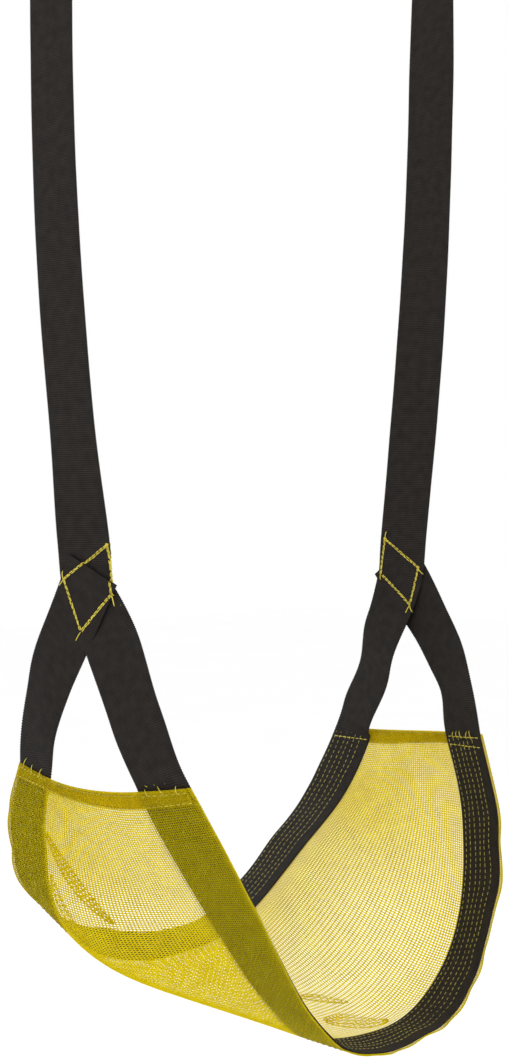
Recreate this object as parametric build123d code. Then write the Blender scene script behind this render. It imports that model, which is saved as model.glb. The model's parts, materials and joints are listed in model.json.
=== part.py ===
from build123d import *
import math
import os

import numpy as np

# A sling swing seat: an open-mesh panel edged with webbing, hung by two long webbing straps.
# X runs along the seat from its left end to its right end, the front is at -Y and Z is up.
# The origin lies under the middle of the seat, level with its lowest point. Millimetres.

# Webbing and panel
WEB_WIDTH = 50.0
WEB_THICK = 2.0
MESH_THICK = 0.9
SELVEDGE = 1.5  # mesh that shows outside the edge webbing
LAYER_GAP = 0.05
HEM_Z = 249.0  # the end hems' height over the seat's lowest point
HEM_FOLDS = 1.0  # thickness of the folded end hem's extra layer
STATIONS = 46  # spans along the seat
CROSS_SPANS = 8  # spans across the bare mesh between the two webbings

# The panel's two long edges, from the left end to the right end, with heights from the hems down.
FRONT_EDGE = [
    (-164, -98, 0),
    (-117, -101, -74),
    (-38, -101, -197),
    (24, -101, -242),
    (119, -101, -240),
    (180, -101, -184),
    (200, -101, -81),
    (176, -98, 9),
]
REAR_EDGE = [
    (-182, 98, 0),
    (-191, 101, -54),
    (-176, 101, -104),
    (-122, 101, -145),
    (-24, 101, -168),
    (41, 101, -155),
    (109, 101, -104),
    (157, 101, -61),
    (192, 98, -5),
]

# At even distances along the seat: each webbing's roll about its edge in degrees, and how far
# the bare mesh between them sags outward.
FRONT_ROLL = [-20, -18, -9, -1, 0, -8, -14, -9, -12]
REAR_ROLL = [7, 1, 18, 20, 4, -6, -6, -2, 2]
BELLY = [0, 3, 6, 5, 4, 6, 8, 5, 0]

# Straps over the seat
KNOT_X = {-1: 188.0, 1: 178.5}  # the diamond stitches, where two straps cross
KNOT_Z = HEM_Z + 145.5
RING_X = 228.5  # the ring's straight bar, in the top loop
RING_Z = 1024.0
STRAP_BOW = {-1: 11.0, 1: 9.5}  # how far each hanging strap bows outward
BOW_START = 30.0  # over the knot
# Each leg's bow and skew as shares of its corner's Y, and its bow away from the seat
LEGS = {
    (-1, "front"): (0.065, 0.01, -0.5),
    (-1, "rear"): (0.23, -0.09, -3.0),
    (1, "front"): (0.27, -0.04, 0.5),
    (1, "rear"): (-0.05, -0.045, 14.5),
}
KNOT_GAP = 0.15  # between the two straps at the diamond
STRAP_END = 20.0  # how far a strap's cut end passes the middle of the diamond
TAIL = 78.0  # the top loop's sewn tail
LOOP_CLOSE = 20.0  # distance below the bar at which the loop's two sides meet
LOOP_PLAY = 0.2  # loop over ring bar
LOOP_STIFF = 7.0  # straight webbing below the loop's tail
STRAP_SPANS = 8  # spans along the bowed stretch
LEG_POINTS = 13
BELOW_CROTCH = np.clip(np.linspace(-1.3, 1, LEG_POINTS), 0, 1)  # share of the turn down a leg

# Thread
THREAD_WIDTH = 1.0
THREAD_THICK = 0.45
STITCH_LIFT = 0.45  # stitches over the folded hem
LONG_ROWS = 6
ROW_FIRST, ROW_STEP = 0.24, 0.133  # rows over the webbing's width, as shares of it
DIAMOND_HALF = 22.0
DIAMOND_OVERRUN = 3.0

# Ring in the top loop
RING_WIRE = 6.0
RING_HALF = 33.0  # half the width of the ring's centre line
RING_CORNER = 7.0
RING_SIDE = 2.0

# Carabiner
HOOK_WIRE = 8.0
HOOK_BOW = 15.0  # radius of both bows' centre line
HOOK_STRAIGHT = 42.0  # distance between the bows' centres
RUN_GAP = 0.3  # ring on carabiner
GATE_RADIUS = 3.8
GATE_LOW = 4.4  # the gate's ends, over the lower bow's centre
GATE_TOP = 37.6
GATE_SLOT = 3.2
WIRE_END = 2.5  # the wire's end below the gate
TONGUE = 2.6
TONGUE_TOP = 3.0  # radius of the tongue's round end about the pin
PIN_Z = 9.0
PIN_RADIUS = 1.25
PIN_PLAY = 0.05
GATE_BORE = 2.3
SPRING_RADIUS = 1.6
SPRING_WIRE = 0.5
SPRING_PITCH = 1.3
SPRING_TURNS = 8

os.makedirs("parts", exist_ok=True)


def save(name, shapes):
    """Writes one node: a single solid or a group of separate ones."""
    shapes = shapes if isinstance(shapes, list) else [shapes]
    shape = shapes[0] if len(shapes) == 1 else Compound(children=shapes)
    shape.label = name
    export_step(shape, f"parts/{name}.step")


def unit(v):
    """Unit vectors of an array's last axis."""
    return v / np.linalg.norm(v, axis=-1, keepdims=True)


def smooth_curve(points, count):
    """Points at equal distances along the Catmull-Rom curve through the given points."""
    p = np.array(points, float)
    p = np.vstack([2 * p[0] - p[1], p, 2 * p[-1] - p[-2]])
    fine = []
    for i in range(len(points) - 1):
        a, b, c, d = p[i : i + 4]
        for t in np.linspace(0, 1, 40, endpoint=False):
            fine.append(
                0.5 * (2 * b + (c - a) * t + (2 * a - 5 * b + 4 * c - d) * t**2)
                + 0.5 * (3 * b - a - 3 * c + d) * t**3
            )
    fine = np.array(fine + [p[-2]])
    length = np.r_[0, np.cumsum(np.linalg.norm(np.diff(fine, axis=0), axis=1))]
    wanted = np.linspace(0, length[-1], count)
    return np.stack([np.interp(wanted, length, fine[:, k]) for k in range(3)], axis=1)


def along_seat(values, count):
    """A list of evenly spaced values as a smooth row of count values."""
    points = [(k, v, 0) for k, v in enumerate(values)]
    line = smooth_curve(points, 40 * len(values))
    return np.interp(np.linspace(0, len(values) - 1, count), line[:, 0], line[:, 1])


def rolled_across(edge, roll):
    """Unit vectors across a webbing, level where roll is 0 and square to the edge throughout."""
    along = unit(np.gradient(edge, axis=0))
    level = unit(np.array([0, 1.0, 0]) - along[:, 1:2] * along)
    angle = np.radians(along_seat(roll, len(edge)))[:, None]
    return level * np.cos(angle) + np.cross(along, level) * np.sin(angle)


def panel_grid():
    """The panel's outer face as rows of points across the seat, and its inward normals."""
    lift = np.array([0, 0, HEM_Z])
    front = smooth_curve(FRONT_EDGE, STATIONS + 1) + lift
    rear = smooth_curve(REAR_EDGE, STATIONS + 1) + lift
    f_across, r_across = rolled_across(front, FRONT_ROLL), rolled_across(rear, REAR_ROLL)
    f_in = front + f_across * (SELVEDGE + WEB_WIDTH)
    r_in = rear - r_across * (SELVEDGE + WEB_WIDTH)
    chord = r_in - f_in
    width = np.linalg.norm(chord, axis=1, keepdims=True)
    outward = unit(np.cross(chord, np.gradient(f_in + r_in, axis=0)))
    outward = outward * along_seat(BELLY, STATIONS + 1)[:, None]
    columns = [front, front + f_across * SELVEDGE]
    for t in np.linspace(0, 1, CROSS_SPANS + 1):
        blend = t * t * (3 - 2 * t)
        start, end = t * (1 - t) ** 2, t * t * (1 - t)
        bulge = (t / 0.6) ** 2.4 * ((1 - t) / 0.4) ** 1.6
        middle = f_in + chord * blend + (f_across * start - r_across * end) * width
        columns.append(middle + outward * bulge)
    columns += [rear - r_across * SELVEDGE, rear]
    grid = np.stack(columns, axis=1)
    for end in (0, -1):
        # each end row lies in one plane that holds the X axis
        slope = (grid[end, -1, 2] - grid[end, 0, 2]) / (grid[end, -1, 1] - grid[end, 0, 1])
        grid[end, :, 2] = grid[end, 0, 2] + slope * (grid[end, :, 1] - grid[end, 0, 1])
    normal = unit(np.cross(np.gradient(grid, axis=0), np.gradient(grid, axis=1)))
    for columns in (slice(0, 3), slice(-3, None)):
        normal[:, columns] = unit(normal[:, columns].mean(axis=1, keepdims=True))
    for end in (0, -1):
        side = unit(grid[end, -1] - grid[end, 0])
        plane = unit(np.cross([1, 0, 0], side))
        normal[end] = unit(normal[end] - np.outer(normal[end] @ plane, plane))
    return grid, normal


def loft_rows(sections):
    """A closed solid through matching closed polygons."""
    wires = [Wire.make_polygon([Vector(*p) for p in s], close=True) for s in sections]
    return Solid.make_loft(wires, ruled=True)


def layer(low, high, rows=slice(None), columns=slice(None)):
    """The part of the panel's rows and columns between two lifts from its outer face."""
    g, n = GRID[rows, columns], NORMAL[rows, columns]
    return loft_rows([np.vstack([p + q * low, (p + q * high)[::-1]]) for p, q in zip(g, n)])


def end_hem(edge, inner):
    """The folded end of the panel: a band on its outer face between its last two rows."""
    low, high = -HEM_FOLDS - LAYER_GAP, -LAYER_GAP
    sections = []
    for a, b, n in zip(GRID[edge], GRID[inner], unit(NORMAL[edge] + NORMAL[inner])):
        sections.append([a + n * low, b + n * low, b + n * high, a + n * high])
    return loft_rows(sections)


def between(row, column):
    """Grid point and normal at fractional row and column numbers."""
    i, j = min(int(row), STATIONS - 1), min(int(column), GRID.shape[1] - 2)
    u, v = row - i, column - j

    def mix(a):
        low = a[i, j] * (1 - v) + a[i, j + 1] * v
        high = a[i + 1, j] * (1 - v) + a[i + 1, j + 1] * v
        return low * (1 - u) + high * u

    return mix(GRID), unit(mix(NORMAL))


def thread_bar(start, end, normal, lift):
    """A straight thread from start to end that lies on a face."""
    side = unit(np.cross(normal, end - start)) * THREAD_WIDTH / 2
    low, high = normal * lift, normal * (lift + THREAD_THICK)
    return loft_rows(
        [[p - side + low, p + side + low, p + side + high, p - side + high] for p in (start, end)]
    )


def long_stitches(first):
    """Stitch rows that run the length of one edge webbing, on its inner face."""
    rows = []
    lift = MESH_THICK + LAYER_GAP + WEB_THICK + LAYER_GAP
    for k in range(LONG_ROWS):
        share = ROW_FIRST + ROW_STEP * k
        half = THREAD_WIDTH / 2 / WEB_WIDTH
        sections = []
        for i in range(1, STATIONS):
            n = NORMAL[i, first]
            a = GRID[i, first] * (1 - share + half) + GRID[i, first + 1] * (share - half)
            b = GRID[i, first] * (1 - share - half) + GRID[i, first + 1] * (share + half)
            low, high = n * lift, n * (lift + THREAD_THICK)
            sections.append([a + low, b + low, b + high, a + high])
        rows.append(loft_rows(sections))
    return rows


def corner_stitches(row, first):
    """Two short rows across the webbing where it leaves the panel."""
    bars = []
    lift = MESH_THICK + WEB_THICK + 5 * LAYER_GAP
    for share in (0.25, 0.75):
        at = row + share if row == 0 else row - share
        a, n = between(at, first + 0.03)
        b, _ = between(at, first + 0.97)
        bars.append(thread_bar(a, b, n, lift))
    return bars


def hem_stitches(row):
    """Stitch rows along the folded end hem, between the two webbings, on the outer face."""
    bars = []
    for share in (0.3, 0.8):
        at = row + share if row == 0 else row - share
        for j in range(2, 2 + CROSS_SPANS):
            a, n = between(at, j + 0.03)
            b, m = between(at, j + 0.97)
            bars.append(thread_bar(b, a, -unit(n + m), HEM_FOLDS + STITCH_LIFT))
    return bars


def ribbon_section(centre, along, inward):
    """A webbing's cross-section: its edges, then the same on its inner face."""
    across = unit(np.cross(inward, along))
    across = across * np.sign(across[1])
    a, b = centre - across * WEB_WIDTH / 2, centre + across * WEB_WIDTH / 2
    return [a, b, b + inward * WEB_THICK, a + inward * WEB_THICK]


def ribbon(centres, inward, start=None):
    """Cross-sections along a free stretch of webbing; start is its first direction."""
    along = unit(np.gradient(centres, axis=0))
    along[0] = along[0] if start is None else start
    return [ribbon_section(p, t, n) for p, t, n in zip(centres, along, inward)]


def side_frame(side):
    """The knot's middle and ring bar of one end, and the inward normal of its hanging strap."""
    knot = np.array([side * KNOT_X[side], 0, KNOT_Z])
    bar = np.array([side * RING_X, 0, RING_Z])
    up = unit(bar - knot)
    inward = unit(np.cross([0, side, 0], up))
    return knot, bar, up, inward * -side * np.sign(inward[0])


def leg_points(side, corner):
    """Centre points from the knot, where a leg lies in the hanging strap's plane, to a corner."""
    knot, _, up, _ = side_frame(side)
    bow, skew, out = LEGS[side, "front" if corner[1] < 0 else "rear"]
    drop = knot[2] - corner[2]
    lean = -drop * up[0] / up[2]
    t = np.linspace(0, 1, 4 * LEG_POINTS)
    y = corner[1] * (t + bow * np.sin(np.pi * t) + skew * np.sin(2 * np.pi * t))
    x = knot[0] + lean * t + (corner[0] - knot[0] - lean) * t**4
    x += side * out * np.sin(np.pi * np.clip((t - 0.35) / 0.65, 0, 1)) ** 2
    return smooth_curve(np.stack([x, y, knot[2] - drop * t], axis=1), LEG_POINTS)


def bowed_corner(side):
    """Row and first column of the webbing whose bowed leg ends at this side's knot."""
    return (0, LAST_WEB) if side < 0 else (-1, 1)


def hanging_strap(side):
    """Cross-sections of a strap's upper stretch: the loop's tail, its turn and the long run."""
    _, bar, up, inward = side_frame(side)
    turn = RING_WIRE / 2 + LOOP_PLAY
    half = LAYER_GAP / 2
    sections = []
    for drop in (TAIL, LOOP_CLOSE):
        sections.append(ribbon_section(bar - up * drop - inward * half, up, -inward))
    for k in range(9):
        angle = math.pi * k / 8
        out = -inward * math.cos(angle) + up * math.sin(angle)
        along = inward * math.sin(angle) + up * math.cos(angle)
        sections.append(ribbon_section(bar + out * turn, along, out))
    sections.append(ribbon_section(bar - up * LOOP_CLOSE + inward * half, -up, inward))
    low, high = KNOT_Z + BOW_START, RING_Z - TAIL - LOOP_STIFF
    for share in np.linspace(0, 1, STRAP_SPANS + 1):
        centre = bar - up * (RING_Z - high + (high - low) * share) / up[2] + inward * half
        centre[0] += side * STRAP_BOW[side] * math.sin(math.pi * share)
        sections.append(ribbon_section(centre, -up, inward))
    return sections


def leg_normals(side, corner_normal):
    """Inward normals down a leg: flat through the knot, then turning to the panel corner's."""
    _, _, _, inward = side_frame(side)
    return [unit(inward * (1 - t) + corner_normal * t) for t in BELOW_CROTCH]


def run_sections(first, order):
    """Cross-sections of the webbing sewn along one edge of the panel."""
    low = MESH_THICK + LAYER_GAP
    sections = []
    for i in order:
        a, b, n = GRID[i, first], GRID[i, first + 1], NORMAL[i, first]
        sections.append([a + n * low, b + n * low, b + n * (low + WEB_THICK), a + n * (low + WEB_THICK)])
    return sections


def corner_of(row, first):
    """Middle of the webbing at a corner of the seat, on the mesh's inner face, and its normal."""
    n = NORMAL[row, first]
    return (GRID[row, first] + GRID[row, first + 1]) / 2 + n * (MESH_THICK + LAYER_GAP), n


def whole_strap(side, first):
    """One strap: loop, long run, straight leg, edge of the seat, bowed leg and cut end."""
    near, order = (0, range(STATIONS + 1)) if side < 0 else (-1, range(STATIONS, -1, -1))
    sections = hanging_strap(side)
    corner, n = corner_of(near, first)
    points = leg_points(side, corner)
    _, _, up, _ = side_frame(side)
    start = unit(unit(points[1] - points[0]) - up)
    sections += ribbon(points, leg_normals(side, n), start)[:-1]
    sections += run_sections(first, order)
    corner, n = corner_of(*bowed_corner(-side))
    points = leg_points(-side, corner)[::-1]
    _, _, _, inward = side_frame(-side)
    outward = -inward * (WEB_THICK + KNOT_GAP)
    points = points + outward * (1 - BELOW_CROTCH[::-1, None])
    cut_end = points[-1] + unit(points[-1] - points[-2]) * STRAP_END
    normals = leg_normals(-side, n)[::-1]
    sections += ribbon(np.vstack([points, cut_end]), normals + [inward])[1:]
    return loft_rows(sections)


def diamond_stitches(side):
    """A parallelogram of heavy thread on both faces of the crossed straps."""
    knot, _, up, inward = side_frame(side)
    corner, _ = corner_of(*bowed_corner(side))
    leg = leg_points(side, corner)
    slope = leg[0] - leg[1]
    slope = unit(slope - inward * np.dot(slope, inward))
    bars = []
    for face, depth in ((inward, WEB_THICK), (-inward, WEB_THICK + KNOT_GAP)):
        for along, across, level in ((up, slope, 0), (slope, up, 1)):
            lift = depth + 2 * LAYER_GAP + level * (THREAD_THICK + LAYER_GAP)
            for shift in (-1, 1):
                middle = knot + across * shift * DIAMOND_HALF
                reach = along * (DIAMOND_HALF + DIAMOND_OVERRUN)
                bars.append(thread_bar(middle - reach, middle + reach, face, lift))
    return bars


def loop_stitches(side):
    """A sewn box with a cross that closes the top loop."""
    _, bar, up, inward = side_frame(side)
    across = np.array([0, 1.0, 0])
    high, low = bar - up * (LOOP_CLOSE + 6), bar - up * (TAIL - 5)
    w = across * (WEB_WIDTH / 2 - 5)
    corners = [high - w, high + w, low + w, low - w]
    bars = []
    for face in (inward, -inward):
        lift = WEB_THICK + LAYER_GAP * 2
        for k in range(4):
            a, b = corners[k], corners[(k + 1) % 4]
            bars.append(thread_bar(a + unit(b - a) * 1.2, b - unit(b - a) * 1.2, face, lift))
        lift += THREAD_THICK + LAYER_GAP
        bars.append(thread_bar(corners[0], corners[2], face, lift))
        lift += THREAD_THICK + LAYER_GAP
        bars.append(thread_bar(corners[1], corners[3], face, lift))
    return bars


def ring(side):
    """A welded D-shaped steel ring: a straight bar in the loop and a round top."""
    _, bar, up, _ = side_frame(side)
    base = Plane(origin=Vector(*bar), x_dir=(0, 1, 0), z_dir=Vector(*np.cross([0, 1, 0], up)))
    c, h, s = RING_CORNER, RING_HALF, RING_SIDE
    top = c + s
    k = c * (1 - math.sqrt(0.5))
    edges = [
        Edge.make_line((-h + c, 0), (h - c, 0)),
        Edge.make_three_point_arc((h - c, 0), (h - k, k), (h, c)),
        Edge.make_line((h, c), (h, top)),
        Edge.make_three_point_arc((h, top), (0, top + h), (-h, top)),
        Edge.make_line((-h, top), (-h, c)),
        Edge.make_three_point_arc((-h, c), (-h + k, k), (-h + c, 0)),
    ]
    path = base.location * Wire(edges)
    start = Plane(origin=path @ 0, z_dir=path % 0)
    return sweep(start * Circle(RING_WIRE / 2), path=path)


def ring_top(side):
    """Middle of the ring wire at its highest point."""
    _, bar, up, _ = side_frame(side)
    return bar + up * (RING_CORNER + RING_SIDE + RING_HALF)


def hook_frame(side):
    """Centre of the carabiner's lower bow."""
    top = ring_top(side)
    wire = top[2] - RING_WIRE / 2 - RUN_GAP - HOOK_WIRE / 2
    return top[0], wire + HOOK_BOW


def carabiner_body(side):
    """A bent steel wire in the XZ plane with a tongue for the gate's hinge and a key at its nose."""
    x0, z0 = hook_frame(side)
    g = side * HOOK_BOW
    high = z0 + HOOK_STRAIGHT
    path = Wire(
        [
            Edge.make_line((x0 + g, 0, z0 + WIRE_END), (x0 + g, 0, z0)),
            Edge.make_three_point_arc((x0 + g, 0, z0), (x0, 0, z0 - HOOK_BOW), (x0 - g, 0, z0)),
            Edge.make_line((x0 - g, 0, z0), (x0 - g, 0, high)),
            Edge.make_three_point_arc(
                (x0 - g, 0, high), (x0, 0, high + HOOK_BOW), (x0 + g, 0, high)
            ),
            Edge.make_line((x0 + g, 0, high), (x0 + g, 0, z0 + GATE_TOP + 0.7)),
        ]
    )
    start = Plane(origin=path @ 0, z_dir=path % 0)
    body = sweep(start * Circle(HOOK_WIRE / 2), path=path)
    hinge = Pos(x0 + g, 0, z0)
    height = PIN_Z - WIRE_END + 1
    tongue = hinge * Pos(0, 0, PIN_Z - height / 2) * Box(2 * TONGUE_TOP, TONGUE, height)
    tongue += hinge * Pos(0, 0, PIN_Z) * Rot(90, 0, 0) * Cylinder(TONGUE_TOP, TONGUE)
    tongue -= hinge * Pos(0, 0, PIN_Z) * Rot(90, 0, 0) * Cylinder(PIN_RADIUS + PIN_PLAY, 20)
    key = hinge * Pos(0, 0, GATE_TOP - 0.5) * Box(4.0, TONGUE, 4.0)
    return (body + tongue + key).solids()[0]


def gate(side):
    """A steel rod, slotted over the tongue and the key, and bored for its spring."""
    x0, z0 = hook_frame(side)
    hinge = Pos(x0 + side * HOOK_BOW, 0, z0)
    length = GATE_TOP - GATE_LOW
    rod = hinge * Pos(0, 0, (GATE_LOW + GATE_TOP) / 2) * Cylinder(GATE_RADIUS, length)
    low_slot = PIN_Z + TONGUE_TOP + 0.5
    rod -= hinge * Pos(0, 0, low_slot / 2) * Box(20, GATE_SLOT, low_slot)
    rod -= hinge * Pos(0, 0, GATE_TOP) * Box(20, GATE_SLOT, 6.2)
    rod -= hinge * Pos(0, 0, PIN_Z) * Rot(90, 0, 0) * Cylinder(PIN_RADIUS, 20)
    bore_top = low_slot + SPRING_PITCH * SPRING_TURNS + 1.4
    rod -= hinge * Pos(0, 0, (low_slot + bore_top) / 2) * Cylinder(GATE_BORE, bore_top - low_slot)
    return rod.solids()[0]


def gate_pin(side):
    """The rivet that the gate turns on."""
    x0, z0 = hook_frame(side)
    place = Pos(x0 + side * HOOK_BOW, 0, z0 + PIN_Z) * Rot(90, 0, 0)
    return place * Cylinder(PIN_RADIUS, 2 * GATE_RADIUS - 0.6)


def gate_spring(side):
    """The coil spring in the gate's bore, which presses on the tongue."""
    x0, z0 = hook_frame(side)
    path = Helix(SPRING_PITCH, SPRING_PITCH * SPRING_TURNS, SPRING_RADIUS)
    start = Plane(origin=path @ 0, z_dir=path % 0)
    coil = sweep(start * Circle(SPRING_WIRE / 2), path=path)
    low = PIN_Z + TONGUE_TOP + 0.9
    return Pos(x0 + side * HOOK_BOW, 0, z0 + low) * coil


GRID, NORMAL = panel_grid()
LAST_WEB = GRID.shape[1] - 3  # the rear webbing's first column

save("mesh_panel", layer(0, MESH_THICK))
save("left_hem", end_hem(0, 1))
save("right_hem", end_hem(-1, -2))
save("strap_a", whole_strap(-1, 1))
save("strap_b", whole_strap(1, LAST_WEB))
for edge, first in (("front", 1), ("rear", LAST_WEB)):
    save(f"{edge}_edge_stitching", long_stitches(first))
    for end, row in (("left", 0), ("right", STATIONS)):
        save(f"{end}_{edge}_corner_stitching", corner_stitches(row, first))
for end, side, row in (("left", -1, 0), ("right", 1, STATIONS)):
    save(f"{end}_hem_stitching", hem_stitches(row))
    save(f"{end}_diamond_stitching", diamond_stitches(side))
    save(f"{end}_loop_stitching", loop_stitches(side))
    save(f"{end}_ring", ring(side))
    save(f"{end}_carabiner", carabiner_body(side))
    save(f"{end}_gate", gate(side))
    save(f"{end}_gate_pin", gate_pin(side))
    save(f"{end}_gate_spring", gate_spring(side))
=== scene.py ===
import json
import math

import bpy
import numpy as np
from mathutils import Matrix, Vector
from mathutils.bvhtree import BVHTree

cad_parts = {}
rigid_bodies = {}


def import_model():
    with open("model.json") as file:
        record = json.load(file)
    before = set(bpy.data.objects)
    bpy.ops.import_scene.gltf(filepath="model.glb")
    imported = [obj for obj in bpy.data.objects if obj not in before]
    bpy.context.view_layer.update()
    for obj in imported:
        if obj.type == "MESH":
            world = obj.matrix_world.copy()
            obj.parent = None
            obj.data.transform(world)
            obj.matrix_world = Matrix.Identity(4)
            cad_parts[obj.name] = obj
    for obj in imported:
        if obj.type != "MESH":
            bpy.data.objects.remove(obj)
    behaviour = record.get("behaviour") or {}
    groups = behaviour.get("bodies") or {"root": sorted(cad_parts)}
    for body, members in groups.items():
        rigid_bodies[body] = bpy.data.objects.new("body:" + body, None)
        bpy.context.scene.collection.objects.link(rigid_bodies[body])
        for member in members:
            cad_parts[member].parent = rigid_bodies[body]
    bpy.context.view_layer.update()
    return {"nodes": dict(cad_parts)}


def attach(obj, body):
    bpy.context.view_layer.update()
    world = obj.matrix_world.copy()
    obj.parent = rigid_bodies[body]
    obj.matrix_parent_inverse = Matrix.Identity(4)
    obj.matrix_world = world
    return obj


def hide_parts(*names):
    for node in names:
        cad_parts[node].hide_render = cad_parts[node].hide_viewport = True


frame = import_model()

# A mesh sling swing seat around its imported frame. Lengths here are millimetres in the frame's
# axes; new_piece turns them into metres. q is the distance across the panel from its front edge
# and s runs from 0 at the seat's left end to 1 at its right end.

MM = 0.001
SEED = 7

# Panel, as in the CAD
HEM_Z = 249.0
PANEL_WIDTH = 203.0
WEB_WIDTH = 50.0
WEB_THICK = 2.0
SELVEDGE = 1.5  # bare mesh outside each edge webbing
REAR_WEB = PANEL_WIDTH - SELVEDGE - WEB_WIDTH  # q where the rear webbing starts
FRONT_EDGE = [
    (-164, -98, 0),
    (-117, -101, -74),
    (-38, -101, -197),
    (24, -101, -242),
    (119, -101, -240),
    (180, -101, -184),
    (200, -101, -81),
    (176, -98, 9),
]
REAR_EDGE = [
    (-182, 98, 0),
    (-191, 101, -54),
    (-176, 101, -104),
    (-122, 101, -145),
    (-24, 101, -168),
    (41, 101, -155),
    (109, 101, -104),
    (157, 101, -61),
    (192, 98, -5),
]
# At even distances along the seat: each webbing's roll about its edge in degrees, and how far
# the bare mesh between them sags outward.
FRONT_ROLL = [-20, -18, -9, -1, 0, -8, -14, -9, -12]
REAR_ROLL = [7, 1, 18, 20, 4, -6, -6, -2, 2]
BELLY = [0, 3, 6, 5, 4, 6, 8, 5, 0]
STATIONS = 900
HEM_REACH = 0.08  # share of the seat over which an end's own shape fades out
CURL_WIDTH = 26.0  # of the wavy strip along each outer edge

# Straps, as in the CAD
KNOT_X = {-1: 188.0, 1: 178.5}
KNOT_Z = HEM_Z + 145.5
RING_X = 228.5
RING_Z = 1024.0
STRAP_BOW = {-1: 11.0, 1: 9.5}  # how far each hanging strap bows outward
BOW_START = 30.0  # over the knot
# Each leg's bow and skew as shares of its corner's Y, and its bow away from the seat
LEGS = {
    (-1, "front"): (0.065, 0.01, -0.5),
    (-1, "rear"): (0.23, -0.09, -3.0),
    (1, "front"): (0.27, -0.04, 0.5),
    (1, "rear"): (-0.05, -0.045, 14.5),
}
LEG_ROWS = 80  # points along a leg
KNOT_GAP = 0.15
STRAP_END = 20.0  # of each strap past the knot
HALF_LAYER = 1.03  # from the hanging strap's plane to the middle of either of its layers
TAIL = 78.0  # from the ring's bar to the loop's cut end
LOOP_STIFF = 7.0  # straight stretch under the tail
LOOP_FOOT = 22.0  # under the bar, where the loop closes
LOOP_TURN = 4.2  # radius of the loop's middle layer round the ring bar
LOOP_STEPS = 24
# Degrees about the strap's own line: over the knot, 140 mm over it and below the loop
TWIST = {-1: (17.0, 6.5, 3.0), 1: (8.0, 11.0, 7.0)}
# Degrees by which each leg turns about its own line
LEG_ROLL = {(-1, "front"): 13.0, (-1, "rear"): 0.0, (1, "front"): -11.0, (1, "rear"): -7.0}

# Mesh
THREADS_ACROSS = 104
THREADS_ALONG = 322
THREAD_WIDE = 1.24
THREAD_TALL = 0.45
WEAVE = 0.16  # how far a thread rises over and dips under the ones it crosses
SECTION_NAMES = ["panel_left", "panel_bottom", "panel_right"]
SECTIONS = len(SECTION_NAMES)
RIMS = [0.35, 1.3]  # distances from an outer edge of the threads that bind it
HEM_TALL = 11.5
HEM_STEP = 0.6  # each folded layer lies this much further out

# Webbing
WEB_LIFT = 0.75  # from the mesh's middle surface to the webbing sewn on it
RIB = 1.7
RIB_DEPTH = 0.22
# Places across the webbing in half widths from its middle, and the share of its thickness there
WEB_ACROSS = np.array([-1, -0.985, -0.94, -0.8, -0.5, -0.2, 0.2, 0.5, 0.8, 0.94, 0.985, 1])
WEB_ROUND = np.array([0.35, 0.75, 1, 1, 1, 1, 1, 1, 1, 1, 0.75, 0.35])

# Stitches
ROW_FIRST, ROW_STEP, LONG_ROWS = 0.24, 0.133, 6  # the long rows' places as shares of the webbing
OVER_WEB = WEB_LIFT + WEB_THICK  # the sewn webbing's inner face over the mesh
HEM_OUTSIDE = -2.2  # the folded hem's outer face

rng = np.random.default_rng(SEED)


def unit(v):
    """Vectors scaled to length 1."""
    return v / np.linalg.norm(v, axis=-1, keepdims=True)


def smooth_curve(points, count):
    """Points at equal distances along the Catmull-Rom curve through the given points."""
    p = np.array(points, float)
    p = np.vstack([2 * p[0] - p[1], p, 2 * p[-1] - p[-2]])
    t = np.linspace(0, 1, 200, endpoint=False)[:, None]
    fine = []
    for i in range(len(points) - 1):
        a, b, c, d = p[i : i + 4]
        fine.append(
            0.5 * (2 * b + (c - a) * t + (2 * a - 5 * b + 4 * c - d) * t**2)
            + 0.5 * (3 * b - a - 3 * c + d) * t**3
        )
    return resample(np.vstack(fine + [p[-2:-1]]), count=count)


def lengths(line):
    """Distance along a line to each of its points."""
    return np.r_[0, np.cumsum(np.linalg.norm(np.diff(line, axis=0), axis=1))]


def resample(line, count):
    """A number of points at equal distances along a line."""
    at = lengths(line)
    wanted = np.linspace(0, at[-1], count)
    return np.stack([np.interp(wanted, at, line[:, k]) for k in range(line.shape[1])], axis=1)


# ---------------------------------------------------------------- the panel's surface

LIFT = np.array([0, 0, HEM_Z])
FRONT = smooth_curve(FRONT_EDGE, STATIONS + 1) + LIFT
REAR = smooth_curve(REAR_EDGE, STATIONS + 1) + LIFT


def along_seat(values):
    """A list of evenly spaced values as a smooth row with one value for each station."""
    line = smooth_curve([(k, v, 0) for k, v in enumerate(values)], 40 * len(values))
    return np.interp(np.linspace(0, len(values) - 1, STATIONS + 1), line[:, 0], line[:, 1])


def rolled_across(edge, roll):
    """Unit vectors across a webbing, level where roll is 0 and square to the edge throughout."""
    along = unit(np.gradient(edge, axis=0))
    level = unit(np.array([0, 1.0, 0]) - along[:, 1:2] * along)
    angle = np.radians(along_seat(roll))[:, None]
    return level * np.cos(angle) + np.cross(along, level) * np.sin(angle)


FRONT_ACROSS = rolled_across(FRONT, FRONT_ROLL)
REAR_ACROSS = rolled_across(REAR, REAR_ROLL)
FRONT_IN = FRONT + FRONT_ACROSS * (SELVEDGE + WEB_WIDTH)
REAR_IN = REAR - REAR_ACROSS * (SELVEDGE + WEB_WIDTH)
SAG = unit(np.cross(REAR_IN - FRONT_IN, np.gradient(FRONT_IN + REAR_IN, axis=0)))
SAG = SAG * along_seat(BELLY)[:, None]
SEAT_LENGTH = (lengths(FRONT)[-1] + lengths(REAR)[-1]) / 2


def rows_at(table, s):
    """Rows of a station table at shares s of the seat."""
    at = np.clip(s, 0, 1) * STATIONS
    low = np.minimum(at.astype(int), STATIONS - 1)
    share = (at - low)[..., None]
    return table[low] * (1 - share) + table[low + 1] * share


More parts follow.
